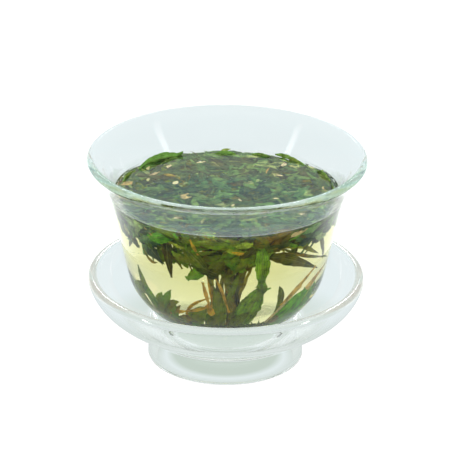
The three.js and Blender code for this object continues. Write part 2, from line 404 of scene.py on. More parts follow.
def mix_node(tree, share, a, b):
    """A colour between a and b, or between their values when they are sockets."""
    return node(tree, "ShaderNodeMix", {"data_type": "RGBA"}, i0=share, i6=a, i7=b).outputs[2]


def map_node(tree, value, low, high, start=0.0, end=1.0, smooth=False):
    """A value that goes from start to end as the input goes from low to high."""
    settings = {"interpolation_type": "SMOOTHSTEP"} if smooth else None
    return node(tree, "ShaderNodeMapRange", settings, Value=value, **{
        "From Min": low, "From Max": high, "To Min": start, "To Max": end}).outputs[0]


def ramp(tree, value, stops):
    made = tree.nodes.new("ShaderNodeValToRGB")
    made.color_ramp.interpolation = "LINEAR"
    elements = made.color_ramp.elements
    while len(elements) < len(stops):
        elements.new(0.5)
    for element, (place, colour) in zip(elements, stops):
        element.position = place
        element.color = (*colour, 1)
    tree.links.new(value, made.inputs[0])
    return made.outputs[0]


def noise_node(tree, vector, scale, detail=4.0, roughness=0.6):
    return node(tree, "ShaderNodeTexNoise", None, Vector=vector, Scale=scale, Detail=detail,
                Roughness=roughness).outputs["Fac"]


def along_height(tree, place, low, high, below, above):
    """A value that goes from below to above between two heights in metres."""
    height = node(tree, "ShaderNodeSeparateXYZ", None, Vector=place).outputs[2]
    return map_node(tree, height, low, high, below, above)


def set_index(tree, shader, bare, against_tea):
    """The refractive index against air, or against the tea where the mesh's wet mark is 1."""
    wet = node(tree, "ShaderNodeAttribute", {"attribute_name": "wet"}).outputs["Fac"]
    tree.links.new(map_node(tree, wet, 0.0, 1.0, bare, against_tea), shader.inputs["IOR"])


def glass_material(name, absorb, density, waviness, soft_zones):
    """Clear glass. In the soft zones it bends light less, as where a flame has polished the edge. The
    bead of the cup's rim is also a little milky."""
    material, tree, shader, out = new_material(name)
    place = node(tree, "ShaderNodeTexCoord").outputs["Object"]
    shader.inputs["Base Color"].default_value = (1, 1, 1, 1)
    shader.inputs["IOR"].default_value = GLASS_INDEX
    soft = along_height(tree, place, *soft_zones[0], 0.0, 1.0)
    for zone in soft_zones[1:]:
        soft = math_node(tree, "MAXIMUM", soft, along_height(tree, place, *zone, 0.0, 1.0))
    bare = map_node(tree, soft, 0.0, 1.0, GLASS_INDEX, SOFT_INDEX)
    set_index(tree, shader, bare, GLASS_INDEX / TEA_INDEX)
    clearness = along_height(tree, place, *MILKY_ZONE, 1.0, MILKY_CLEARNESS)
    tree.links.new(clearness, shader.inputs["Transmission Weight"])
    rough = map_node(tree, noise_node(tree, place, 60.0), 0.35, 0.75, 0.0, 0.012)
    tree.links.new(rough, shader.inputs["Roughness"])
    # Faint rings left by the turning of the hot glass, and a soft waviness.
    stretched = node(tree, "ShaderNodeMapping", None, Vector=place, Scale=(5.0, 5.0, 520.0)).outputs[0]
    ring_share = math_node(tree, "ADD", soft, 0.4)
    rings = math_node(tree, "MULTIPLY", noise_node(tree, stretched, 1.0, 2.0), ring_share)
    waves = noise_node(tree, place, 38.0, 1.0)
    height = math_node(tree, "ADD", math_node(tree, "MULTIPLY", rings, 0.9), waves)
    bump = node(tree, "ShaderNodeBump", None, Height=height, Strength=waviness, Distance=0.001)
    tree.links.new(bump.outputs[0], shader.inputs["Normal"])
    volume = tree.nodes.new("ShaderNodeVolumeAbsorption")
    volume.inputs["Color"].default_value = (*absorb, 1)
    volume.inputs["Density"].default_value = density
    tree.links.new(volume.outputs[0], out.inputs["Volume"])
    return material


def tea_material():
    material, tree, shader, out = new_material("green_tea")
    place = node(tree, "ShaderNodeTexCoord").outputs["Object"]
    shader.inputs["Base Color"].default_value = (1, 1, 1, 1)
    shader.inputs["IOR"].default_value = TEA_INDEX
    set_index(tree, shader, TEA_INDEX, 1.0)
    shader.inputs["Transmission Weight"].default_value = 1.0
    shader.inputs["Roughness"].default_value = 0.0
    ripple = noise_node(tree, place, 90.0, 3.0)
    bump = node(tree, "ShaderNodeBump", None, Height=ripple, Strength=0.25, Distance=0.001)
    tree.links.new(bump.outputs[0], shader.inputs["Normal"])
    volume = tree.nodes.new("ShaderNodeVolumeAbsorption")
    volume.inputs["Color"].default_value = (1.0, 0.93, 0.2, 1)
    volume.inputs["Density"].default_value = 17.5
    tree.links.new(volume.outputs[0], out.inputs["Volume"])
    return material


def leaf_material(name, stops):
    """A wet leaf. The stops give its colour by tone, and the mesh's leaf mark gives tone and age."""
    material, tree, shader, out = new_material(name)
    place = node(tree, "ShaderNodeTexCoord").outputs["Object"]
    mark = node(tree, "ShaderNodeAttribute", {"attribute_name": "leaf"})
    parts = node(tree, "ShaderNodeSeparateColor", None, Color=mark.outputs["Color"])
    across, tone = parts.outputs[1], parts.outputs[2]
    age = mark.outputs["Alpha"]
    base = ramp(tree, tone, stops)
    # Blotches, browner with age.
    blotch = noise_node(tree, place, 420.0, 5.0)
    grain = noise_node(tree, place, 1700.0, 3.0)
    level = math_node(tree, "MULTIPLY", blotch, 1.1)
    level = math_node(tree, "ADD", level, math_node(tree, "MULTIPLY", grain, 0.35))
    level = map_node(tree, level, 0.45, 1.0, 0.35, 1.65)
    patchy = map_node(tree, noise_node(tree, place, 190.0, 3.0), 0.40, 0.62, 0.3, 1.0)
    brown_share = math_node(tree, "MULTIPLY", age, patchy, True)
    aged = mix_node(tree, brown_share, base, OLD_LEAF_BROWN)
    # Veins run the length of the blade, with a pale rib down the middle.
    wobble = math_node(tree, "MULTIPLY", noise_node(tree, place, 300.0, 2.0), 5.0)
    stripes = math_node(tree, "ADD", math_node(tree, "MULTIPLY", across, 38.0), wobble)
    stripes = math_node(tree, "SINE", stripes)
    off_rib = math_node(tree, "ABSOLUTE", math_node(tree, "SUBTRACT", across, 0.5))
    rib = math_node(tree, "MULTIPLY", map_node(tree, off_rib, 0.02, 0.06, 1.0, 0.0), 0.45)
    veined = math_node(tree, "ADD", math_node(tree, "MULTIPLY", stripes, 0.17), level)
    toned = node(tree, "ShaderNodeVectorMath", {"operation": "SCALE"}, i0=aged, Scale=veined).outputs[0]
    ribbed = mix_node(tree, rib, toned, RIB_GREEN)
    tree.links.new(ribbed, shader.inputs["Base Color"])
    rough = map_node(tree, blotch, 0.0, 1.0, 0.3, 0.55)
    tree.links.new(rough, shader.inputs["Roughness"])
    shader.inputs["Specular IOR Level"].default_value = 0.06
    relief = math_node(tree, "ADD", math_node(tree, "MULTIPLY", stripes, 0.2), blotch)
    bump = node(tree, "ShaderNodeBump", None, Height=relief, Strength=0.7, Distance=0.0003)
    tree.links.new(bump.outputs[0], shader.inputs["Normal"])
    # Some of the light comes through the leaf, warmer than it went in. Its far face lets it in.
    warm = node(tree, "ShaderNodeVectorMath", {"operation": "MULTIPLY"}, i0=ribbed, i1=(2.0, 1.8, 0.6))
    through = node(tree, "ShaderNodeBsdfTranslucent", None, Color=warm.outputs[0])
    both = node(tree, "ShaderNodeMixShader", None, i0=0.42, i1=shader.outputs[0], i2=through.outputs[0])
    clear = node(tree, "ShaderNodeBsdfTransparent").outputs[0]
    backface = node(tree, "ShaderNodeNewGeometry").outputs["Backfacing"]
    leaf = node(tree, "ShaderNodeMixShader", None, i0=backface, i1=both.outputs[0], i2=clear)
    tree.links.new(leaf.outputs[0], out.inputs["Surface"])
    return material


CUP_GLASS = glass_material("cup_glass", (0.45, 0.88, 0.80), 3.0, 0.03, [RIM_ZONE, BASE_ZONE])
SAUCER_GLASS = glass_material("saucer_glass", (0.70, 0.80, 0.55), 1.2, 0.025, [FOOT_ZONE])
TEA = tea_material()
LEAF = leaf_material("wet_leaf", [
    (0.0, (0.028, 0.050, 0.008)), (0.25, (0.078, 0.135, 0.009)), (0.5, (0.152, 0.252, 0.014)),
    (0.75, (0.125, 0.400, 0.028)), (1.0, (0.46, 0.60, 0.06))])
# Leaf colours with a painted bluish sheen mixed in, standing in for reflected light; used for the
# floating leaves and for those along the wall at the sides.
SURFACE_LEAF_PAINTED_SHEEN = leaf_material("surface_leaf_painted_sheen", [
    (0.0, (0.024, 0.058, 0.032)), (0.25, (0.056, 0.130, 0.050)), (0.5, (0.105, 0.232, 0.074)),
    (0.75, (0.160, 0.340, 0.098)), (1.0, (0.42, 0.50, 0.22))])
STALK = leaf_material("wet_stalk", [
    (0.0, (0.08, 0.09, 0.02)), (0.4, (0.22, 0.22, 0.03)), (0.7, (0.66, 0.42, 0.03)),
    (0.88, (0.54, 0.43, 0.17)), (1.0, (0.80, 0.72, 0.46))])

# ---------- glass and tea ----------

saucer = make_object("saucer_glass_body", *turned(saucer_outline()), SAUCER_GLASS, "glass", "saucer")
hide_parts("saucer")
cup = make_object("cup_glass_body", *turned(cup_outline()), CUP_GLASS, "glass", "cup")
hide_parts("cup")
tea = make_object("green_tea_body", *turned(tea_outline()), TEA, "tea", "cup")
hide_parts("tea_liquor")


def glass_is_wet(p):
    on_inside = math.hypot(p.x, p.y) < inner_radius(p.z) + 0.1
    return on_inside and CUP_FLOOR - 0.1 < p.z < TEA_SURFACE + 0.85


def tea_is_held(p):
    return p.z < TEA_SURFACE - 0.02 or math.hypot(p.x, p.y) > inner_radius(p.z) + 0.05


mark_wet(cup, glass_is_wet)
mark_wet(tea, tea_is_held)

# ---------- leaves ----------

SURFACE_LEAF_COUNT = 620
LOWER_LEAF_COUNT = 420
FRINGE_LEAF_COUNT = 560
BED_LEAF_COUNT = 240
STEM_COUNT = 16
SIDE_BEARING = 42


def outward(point):
    return unit(np.array([point[0], point[1], 0.0]))


# Each single leaf: its CAD node, the three places its middle line passes through as bearing, radius
# and height, its width, tone (0 dark, 1 yellow-green) and how it bends.
SINGLE_LEAVES = [
    ("hanging_leaf_1", [(-33, 35.2, 57), (-33, 35.0, 50.8), (-32, 34.0, 42.7)],
     4.2, 0.0, dict(peak=0.3, ends=(0.9, 0.15))),
    ("hanging_leaf_2", [(-28, 32, 57), (-30, 31.8, 52.1), (-27, 31, 46.2)],
     2.8, 0.25, dict(age=0.8, ends=(0.8, 0.3))),
    ("hanging_leaf_3", [(-24, 35.6, 57), (-16, 35.2, 51.8), (-10, 34.4, 47.4)],
     5.2, 0.35, dict(ends=(0.8, 0.1), fold=0.1)),
    ("hanging_leaf_4", [(-8, 33.6, 52), (-16, 33.4, 46.5), (-23, 32.6, 43.2)],
     4.6, 0.72, dict(ends=(0.8, 0.5))),
    ("hanging_leaf_5", [(19, 35.8, 57), (20, 35.4, 49.0), (20.5, 34, 40.5)],
     5.4, 0.82, dict(ends=(0.9, 0.9), camber=0.06)),
    ("hanging_leaf_6", [(23, 33, 52), (38, 34.2, 49.3), (65, 32.4, 40.6)],
     4.4, 0.12, dict(ends=(0.6, 0.1), peak=0.4)),
    ("hanging_leaf_7", [(34, 30.4, 54), (50, 31.6, 48.8), (80, 30.6, 42.4)],
     1.4, 0.15, dict(ends=(0.8, 0.4))),
    ("hanging_leaf_8", [(-58, 34.2, 56), (-63, 34, 52), (-68, 33.4, 47.5)], 2.5, 0.4, dict()),
    ("hanging_leaf_9", [(-41, 33, 56), (-40, 32.4, 51), (-40, 31.6, 46.5)],
     3.0, 0.55, dict(ends=(0.8, 0.1))),
    ("hanging_leaf_10", [(60, 34.4, 56), (64, 34.2, 51), (67, 34, 46.5)], 2.4, 0.2, dict()),
    ("hanging_leaf_11", [(100, 34, 56), (104, 33.8, 50), (108, 33, 45)], 2.0, 0.45, dict()),
    ("hanging_leaf_12", [(150, 33, 56), (156, 32.8, 49), (160, 31.5, 43.5)], 5.0, 0.6, dict(fold=0.1)),
    ("hanging_leaf_13", [(-175, 34, 56), (-172, 33.4, 50), (-168, 32.5, 45)], 4.0, 0.3, dict()),
    ("hanging_leaf_14", [(-140, 33, 56), (-136, 32.8, 50), (-130, 31.8, 44)], 6.0, 0.65, dict(curl=0.1)),
    ("hanging_leaf_15", [(-100, 34, 56), (-104, 33.4, 50), (-108, 32.6, 44.5)], 2.0, 0.4, dict()),
    ("standing_leaf_1", [(12, 24.6, 23), (15, 30.2, 32), (23.5, 31.8, 40.6)],
     8.0, 0.62, dict(ends=(0.5, 0.75), camber=0.08, curl=0.05)),
    ("standing_leaf_2", [(-3, 24.6, 23), (-4, 30.4, 33), (-7, 32, 40.9)],
     4.1, 0.5, dict(ends=(0.5, 0.1), fold=0.1)),
    ("standing_leaf_3", [(-26, 24.6, 22.8), (-18, 29.8, 28.6), (-12, 31, 32.4)],
     5.6, 0.45, dict(ends=(0.5, 0.1))),
    ("standing_leaf_4", [(-15, 21, 22.8), (-10, 24.4, 27), (-6, 25.4, 29.8)],
     4.4, 0.55, dict(ends=(0.5, 0.1))),
    ("standing_leaf_5", [(43, 24.6, 23), (54, 30.4, 28), (65, 32.6, 34.5)],
     8.0, 0.7, dict(ends=(0.5, 0.3), curl=0.06, age=0)),
    ("standing_leaf_6", [(34, 22.5, 23), (38, 28, 31), (35, 30, 38.6)], 2.8, 0.45, dict(peak=0.6)),
    ("standing_leaf_8", [(-50, 25, 23), (-56, 31.6, 34), (-61, 32.6, 41.9)],
     3.2, 0.45, dict(ends=(0.6, 0.3))),
    ("standing_leaf_9", [(-44, 24, 23), (-41, 29.8, 31), (-35, 31, 36.9)], 2.6, 0.35, dict(age=0.7)),
    ("standing_leaf_10", [(-38, 25, 22.8), (-34, 29.4, 27.6), (-29, 30.4, 31.6)],
     2.4, 0.3, dict(age=0.8)),
    ("standing_leaf_11", [(-60, 25, 22.8), (-66, 30, 28.5), (-73, 31.3, 34.3)], 4.0, 0.4, dict()),
    ("standing_leaf_13", [(100, 22.5, 21.4), (104, 26, 22.4), (110, 27.4, 24.4)], 1.6, 0.5, dict()),
    ("standing_leaf_14", [(160, 9, 21.4), (168, 12.5, 22.4), (174, 15.5, 24)], 1.8, 0.6, dict()),
    ("standing_leaf_15", [(-150, 7, 21.4), (-162, 11, 22.4), (-172, 14, 24)], 1.8, 0.35, dict()),
    ("standing_leaf_16", [(-110, 22.5, 21.4), (-112, 26, 22.4), (-116, 27.4, 24.4)], 1.6, 0.5, dict()),
]
SINGLE_STALKS = [
    ("standing_leaf_7", [(38, 25, 23.5), (58, 32.4, 35), (80, 33, 39.5)],
     2.4, 0.82, dict(ends=(0.9, 0.5), age=0)),
    ("standing_leaf_12", [(-31, 23, 27), (-22, 28, 32), (-10, 30.4, 36)],
     1.2, 0.66, dict(ends=(0.9, 0.5))),
    ("stalk_1", [(5, 23, 22.8), (3, 28.4, 38), (2, 31, 54)],
     2.0, 0.3, dict(ends=(0.9, 0.9), thick=1.0, age=0)),
    ("stalk_2", [(9, 19, 22.8), (8, 25.6, 37), (9, 29.5, 54)],
     2.0, 0.25, dict(ends=(0.9, 0.9), thick=1.0, age=0)),
    ("stalk_3", [(-6, 20.5, 22.8), (-10, 26.2, 38.4), (-14, 28.4, 54)],
     1.7, 0.7, dict(ends=(0.9, 0.9), thick=0.8)),
    ("stalk_4", [(3, 13, 22.8), (4, 16, 38), (3, 15, 54)],
     2.0, 0.3, dict(ends=(0.9, 0.9), thick=1.0, age=0)),
]


def single_leaves():
    rng = np.random.default_rng(7)
    for rows, material, slot_name in ((SINGLE_LEAVES, LEAF, "leaf"), (SINGLE_STALKS, STALK, "stalk")):
        for name, places, width, tone, bends in rows:
            points = [polar(*p) for p in places]
            single = Foliage()
            single.blade(points, width, outward(points[1]), tone, rng, steps=(30, 8), **bends)
            single.build(name + "_blade", material, slot_name, [name])


def random_tone(rng):
    if rng.uniform() < 0.1:
        return float(rng.uniform(0.75, 1.0))
    return float(rng.beta(1.5, 2.2))


def mat_reach(bearing):
    """How far the floating layer hangs down along the wall at a bearing."""
    return np.interp(
        bearing,
        [-180, -100, -80, -70, -62, -56, -50, -44, -34, -22, -13,
         -4, 0, 12, 22, 31, 44, 57, 66, 76, 110, 180],
        [5, 3.5, 4, 9, 12, 7, 11, 12.8, 13, 14.5, 16.5,
         16.5, 14, 13, 12, 9.7, 10, 11, 7, 4, 3.5, 5])


def flat_leaf(gathered, rng, centre, length, width, tone, age, tilt=0.16, steps=(9, 4)):
    """One leaf that lies nearly level about its centre."""
    yaw = rng.uniform(0, math.pi * 2)
    lie = unit(np.array([math.cos(yaw), math.sin(yaw), rng.normal(0, tilt * 0.4)]))
    bow = np.cross(lie, (0, 0, 1)) * rng.normal(0, length * 0.08)
    face = unit(np.array([rng.normal(0, tilt), rng.normal(0, tilt), 1]))
    places = [centre - lie * length / 2, centre + bow, centre + lie * length / 2]
    gathered.blade(places, width, face, tone, rng, age=age, steps=steps, ragged=0.2,
                   ends=(rng.uniform(0.2, 0.9), rng.uniform(0, 0.9)), camber=rng.uniform(-0.1, 0.14),
                   twist=rng.normal(0, 14))


def mat_radius(bearing):
    """How far out the leaves on the surface float at a bearing: they leave the glass at the back."""
    return np.interp(
        bearing,
        [-180, -165, -150, 138, 150, 162, 180],
        [34.5, 35.5, 37.6, 37.4, 35.0, 35.0, 34.5])


# Leaves that lie against the back of the glass, in the same form as above.
BACK_LEAVES = [
    ([(-121, 36.4, 61.7), (-137, 37.4, 62.3), (-153, 36.4, 61.9)],
     4.8, 0.46, 0.0, dict(ends=(0.5, 0.9), taper=0.4)),
    ([(153, 38.0, 62.5), (143, 37.6, 62.5), (128, 36.8, 62.0)], 2.2, 0.45, 0.2, dict()),
    ([(120, 37.0, 62.2), (114, 37.4, 62.6), (106, 37.6, 62.2)], 2.2, 0.4, 0.2, dict(ends=(0.6, 0.8))),
    ([(-172, 34.6, 62.2), (-179, 34.8, 62.6), (174, 34.4, 62.2)], 1.4, 0.6, 0.0, dict()),
    ([(166, 35.2, 61.9), (160, 35.4, 62.5), (153, 35.2, 62.1)], 1.6, 0.5, 0.1, dict()),
    ([(100, 37.2, 61.8), (93, 37.2, 62.3), (84, 37.4, 61.9)], 2.4, 0.4, 0.2, dict(ends=(0.6, 0.8))),
    ([(118, 37.0, 61.2), (117, 37.4, 62.4), (115, 37.5, 64.0)], 1.6, 0.85, 0.2, dict(ends=(0.6, 0.1))),
    ([(112, 37.0, 61.2), (111, 37.4, 62.2), (110, 37.5, 63.4)], 1.4, 0.85, 0.2, dict(ends=(0.6, 0.1))),
    ([(106, 37.0, 61.2), (106, 37.4, 62.0), (104, 37.5, 63.0)], 1.5, 0.7, 0.4, dict(ends=(0.6, 0.1))),
    ([(148, 37.0, 61.4), (146, 37.4, 62.6), (141, 37.5, 63.4)], 1.3, 0.8, 0.1, dict(ends=(0.6, 0.1))),
    ([(-176, 35.6, 61.6), (-178, 36.4, 62.8), (178, 36.8, 63.2)], 1.3, 0.9, 0.1, dict(ends=(0.6, 0.1))),
    ([(-98, 37.2, 61.6), (-108, 37.4, 62.2), (-118, 37.2, 61.8)], 2.6, 0.45, 0.2, dict(ends=(0.6, 0.8))),
]


# Pale bits of stalk on the surface: bearing, radius, length, width and tone.
RAFT_CHIPS = [
    (-100, 36.0, 5.0, 3.2, 0.86), (-71, 15.1, 5.4, 3.6, 0.90), (-121, 30.0, 5.0, 1.4, 0.95),
    (-112, 19.8, 3.2, 2.0, 1.0), (-126, 34.7, 3.4, 1.2, 1.0), (-137, 30.3, 3.4, 1.4, 1.0),
    (129, 23.8, 2.4, 1.2, 1.0), (10, 12.7, 2.4, 1.0, 1.0), (71, 18.1, 2.2, 1.0, 1.0),
    (30, 9.2, 2.2, 1.0, 1.0), (143, 24.4, 6.0, 0.7, 0.8), (-124, 24.5, 5.0, 2.2, 0.5),
    (142, 32.3, 3.6, 1.8, 1.0), (-160, 28.1, 3.4, 1.2, 1.0), (60, 30.0, 3.0, 1.0, 1.0),
    (76, 31.0, 4.4, 0.8, 0.96), (-40, 26.0, 3.0, 0.9, 1.0), (96, 34.5, 4.0, 0.7, 0.94),
    (40, 20.0, 2.0, 0.9, 1.0),
]


def scatter_surface(surface, rng):
    """Broad and narrow pieces that lie flat at the surface."""
    for i in range(SURFACE_LEAF_COUNT):
        bearing = rng.uniform(-180, 180)
        length, width = rng.uniform(5, 13), rng.uniform(1.6, 4.4)
        if rng.uniform() < 0.4:
            length, width = rng.uniform(6, 18), rng.uniform(0.6, 1.4)
        radius = (mat_radius(bearing) - length * 0.12) * math.sqrt(rng.uniform(0, 1))
        centre = polar(bearing, radius, TEA_SURFACE - rng.uniform(0.3, 1.4))
        tone = random_tone(rng) ** 1.4
        flat_leaf(surface, rng, centre, length, width, tone, rng.uniform(0, 0.35), 0.12)
    surface.hold_under(TEA_SURFACE - 0.3)


def scatter_lower(lower, rng):
    """Larger pieces that fill the layer under the surface."""
    for i in range(LOWER_LEAF_COUNT):
        bearing, depth = rng.uniform(-180, 180), rng.uniform(1.5, 7.0)
        radius = (mat_radius(bearing) - 2 - depth) * math.sqrt(rng.uniform(0, 1))
        centre = polar(bearing, radius, TEA_SURFACE - depth)
        flat_leaf(lower, rng, centre, rng.uniform(8, 14), rng.uniform(3.5, 6.5), random_tone(rng) * 0.7,
                  rng.uniform(0.1, 0.8), 0.2, (8, 4))
    lower.hold_under(TEA_SURFACE - 0.6)


def scatter_fringe(fringe, sides, rng):
    """Tilted pieces along the wall. Those at the sides are kept apart, to take the leaf colours with the
    painted bluish sheen.
    """
    for i in range(FRINGE_LEAF_COUNT):
        bearing = rng.uniform(-180, 180)
        reach = mat_reach(bearing) + 0.8 * math.sin(math.radians(bearing * 13))
        height = TEA_SURFACE - 1.0 - (reach - 2.2) * rng.uniform(0, 1) ** 1.05
        centre = polar(bearing, inner_radius(height) - rng.uniform(1.2, 5.5), height)
        out = outward(centre)
        along_wall = np.cross(out, (0, 0, 1))
        slope = rng.normal(0, 0.55)
        length, width = rng.uniform(5, 13), rng.uniform(2.0, 5.2)
        if rng.uniform() < 0.2:
            width = rng.uniform(0.6, 1.3)
        lie = unit(along_wall * math.cos(slope) + np.array([0, 0, math.sin(slope)]))
        places = [centre - lie * length / 2, centre + out * rng.uniform(0, 1), centre + lie * length / 2]
        for p in places:
            p[2] = min(p[2], TEA_SURFACE - 0.4)
        face = unit(out + rng.normal(0, 0.4, 3))
        gathered, oldest = (sides, 0.15) if abs(bearing) > SIDE_BEARING else (fringe, 0.9)
        gathered.blade(places, width, face, random_tone(rng), rng, age=rng.uniform(0, oldest),
                       steps=(12, 4), ends=(rng.uniform(0.3, 1.1), rng.uniform(0.1, 1.1)), ragged=0.3,
                       taper=rng.uniform(0.4, 1), camber=rng.uniform(-0.12, 0.14),
                       twist=rng.normal(0, 25))
    fringe.hold_under(TEA_SURFACE - 0.8)
    sides.hold_under(TEA_SURFACE - 0.8)


def raft():
    """The floating layer: its surface, what lies under it, and a fringe along the wall."""
    rng = np.random.default_rng(21)
    surface, lower, fringe, sides, chips = [Foliage() for i in range(5)]
    scatter_surface(surface, rng)
    scatter_lower(lower, rng)
    scatter_fringe(fringe, sides, rng)
    for places, width, tone, age, bends in BACK_LEAVES:
        points = [polar(*p) for p in places]
        surface.blade(points, width, outward(points[1]), tone, rng, age=age, steps=(24, 6), **bends)
    for bearing, radius, length, width, tone in RAFT_CHIPS:
        centre = polar(bearing, radius, TEA_SURFACE - 0.25)
        flat_leaf(chips, rng, centre, length, width, tone, 0.0, 0.1, (8, 4))
    chips.hold_under(TEA_SURFACE - 0.2)
    surface.build("raft_surface_leaves", SURFACE_LEAF_PAINTED_SHEEN, "leaf", ["floating_leaf_raft"])
    chips.build("raft_pale_chips", STALK, "stalk")
    lower.build("raft_lower_leaves", LEAF, "leaf")
    fringe.build("raft_fringe_leaves", LEAF, "leaf")
    sides.build("raft_side_leaves", SURFACE_LEAF_PAINTED_SHEEN, "leaf")


# Leaves that stand out among the rest but have no CAD node of their own: three places as bearing,
# radius and height, width, tone, age and bends.
OTHER_LEAVES = [
    ([(-44, 36.2, 56.4), (-35, 36.6, 58.7), (-26, 37.0, 60.6)], 5.0, 0.76, 0.0, dict(ends=(0.7, 0.6))),
    ([(-53, 35.8, 57.0), (-47, 35.3, 54.1), (-44, 34.8, 51.8)], 2.8, 0.6, 0.2, dict()),
    ([(-52, 34.1, 50.8), (-48, 33.1, 46.7), (-42, 33.2, 47.0)], 1.3, 0.4, 0.8, dict()),
    ([(39, 35.2, 56.4), (49, 34.4, 52.1), (63, 33.2, 46.9)], 1.8, 0.4, 0.6, dict()),
    ([(63, 35.0, 50.6), (67, 34.2, 46.7), (69, 33.3, 43.1)], 1.6, 0.35, 0.5, dict()),
    ([(32, 34.0, 52.9), (50, 33.1, 48.8), (80, 31.6, 41.7)], 1.1, 0.5, 0.9, dict(ends=(0.9, 0.5))),
    ([(20, 26.4, 23.5), (27, 26.4, 23.5), (33, 26.6, 23.7)], 3.0, 0.3, 0.7, dict()),
    ([(-50, 27.9, 26.0), (-40, 30.5, 31.9), (-35, 31.5, 36.9)], 3.4, 0.62, 0.3, dict(fold=0.2)),
    ([(-42, 28.4, 26.6), (-36, 30.3, 31.0), (-30, 30.7, 32.7)], 3.2, 0.5, 0.5, dict(fold=0.2)),
    ([(-52, 28.8, 27.3), (-45, 30.5, 31.8), (-42, 31.1, 34.9)], 3.0, 0.6, 0.3, dict(fold=0.2)),
    ([(-48, 28.0, 24.5), (-46, 30.0, 29.0), (-40, 30.8, 33.0)], 4.2, 0.5, 0.4, dict()),
    ([(-72, 31.7, 34.3), (-64, 30.6, 29.5), (-52, 28.1, 25.3)], 4.5, 0.5, 0.3, dict()),
    ([(-53, 30.0, 28.1), (-42, 28.2, 25.4), (-31, 27.2, 24.2)], 5.0, 0.3, 0.7, dict()),
    ([(-26, 26.8, 24.0), (-17, 30.4, 29.4), (-10, 31.2, 32.7)], 4.4, 0.5, 0.4, dict(taper=1.0)),
    ([(-13, 26.6, 23.8), (-6, 29.8, 28.0), (-1, 30.8, 31.0)], 3.8, 0.4, 0.6, dict(taper=1.0, fold=0.15)),
    ([(62, 32.4, 35.5), (52, 30.9, 29.5), (41, 26.8, 23.8)], 1.6, 0.97, 0.3, dict(ends=(0.2, 0.5))),
    ([(20, 34.0, 44.0), (21, 33.4, 39.5), (18, 32.6, 35.0)], 3.4, 0.45, 0.1, dict(ends=(0.8, 0.6))),
    ([(2, 26.5, 23.5), (8, 29.5, 27.5), (16, 30.5, 30.5)], 3.6, 0.45, 0.4, dict(taper=1.0)),
    ([(-34, 26.0, 23.0), (-28, 28.6, 26.0), (-20, 29.0, 27.0)], 3.8, 0.4, 0.9, dict(taper=1.0)),
    ([(28, 26.0, 23.0), (34, 28.0, 25.5), (42, 28.4, 27.0)], 3.2, 0.35, 0.9, dict(taper=1.0)),
    ([(36, 25.0, 23.0), (45, 30.0, 28.0), (56, 32.2, 34.0)],
     9.0, 0.72, 0.0, dict(ends=(0.6, 0.4), taper=0.6)),
    ([(-62, 30.6, 30.0), (-58, 32.2, 36.0), (-60, 33.0, 40.0)], 3.0, 0.5, 0.2, dict()),
    ([(-70, 31.4, 32.0), (-62, 31.6, 33.0), (-55, 31.0, 31.0)], 4.0, 0.5, 0.3, dict()),
    ([(-46, 29.0, 26.5), (-52, 31.0, 31.5), (-58, 32.4, 36.5)], 3.6, 0.65, 0.2, dict(fold=0.1)),
    ([(-38, 27.6, 24.6), (-34, 29.6, 28.5), (-36, 30.6, 32.5)], 3.2, 0.6, 0.3, dict(fold=0.1)),
    ([(-3, 32.4, 47.0), (1, 32.6, 43.0), (3, 32.2, 38.0)], 2.6, 0.4, 0.6, dict(fold=0.15)),
    ([(7, 32.8, 46.0), (4, 32.0, 40.0), (0, 31.4, 35.0)], 2.2, 0.5, 0.5, dict(fold=0.15)),
    ([(12, 33.0, 49.0), (9, 32.0, 44.0), (8, 31.0, 39.0)], 2.0, 0.35, 0.7, dict()),
    ([(-6, 32.0, 50.0), (-9, 32.0, 45.0), (-7, 31.0, 40.0)], 2.2, 0.45, 0.7, dict()),
    ([(4.5, 36.9, 58.8), (9, 37.0, 58.4), (13.5, 36.9, 58.7)],
     2.6, 0.97, 0.0, dict(ends=(0.5, 0.8), taper=0.4)),
    ([(14, 36.4, 58.4), (20, 36.7, 59.0), (27, 36.6, 59.5)],
     4.4, 0.3, 1.0, dict(ends=(0.6, 0.8), taper=0.4)),
    ([(-15, 37.0, 59.4), (-4, 37.2, 59.0), (8, 37.0, 59.5)], 4.4, 0.6, 0.5, dict(ends=(0.3, 0.5))),
    ([(0, 31.0, 38.0), (4, 30.6, 33.0), (2, 28.5, 27.0)], 2.6, 0.4, 0.7, dict()),
]


